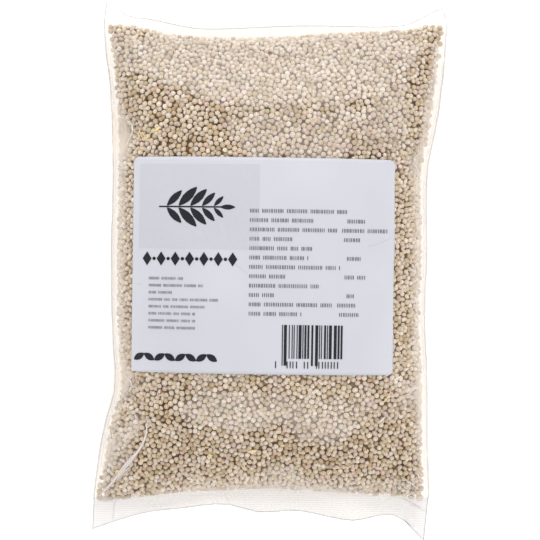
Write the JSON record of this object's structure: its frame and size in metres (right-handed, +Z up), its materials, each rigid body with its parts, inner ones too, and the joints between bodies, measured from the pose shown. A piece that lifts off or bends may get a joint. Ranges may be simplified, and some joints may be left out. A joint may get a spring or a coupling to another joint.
{
  "type": "clear pillow bag of white quinoa",
  "caption": "Plump clear plastic pillow bag filled with white quinoa seeds, welded flat at both ends, lying on its back with a plain paper label on its front.",
  "frame": {"origin": "on the table, under the middle of the bag's outline seen from above", "axes": "+Z up out of the labelled front, +Y along the bag towards its top end, +X across it to the right of the label"},
  "size_m": [0.135, 0.2054, 0.0474],
  "materials": {
    "bag": "clear glossy film over cream and tan seeds",
    "label": "smooth white paper, slightly cool"
  },
  "bodies": {
    "root": {"quinoa_bag": "bag", "label": "label"}
  },
  "joints": []
}
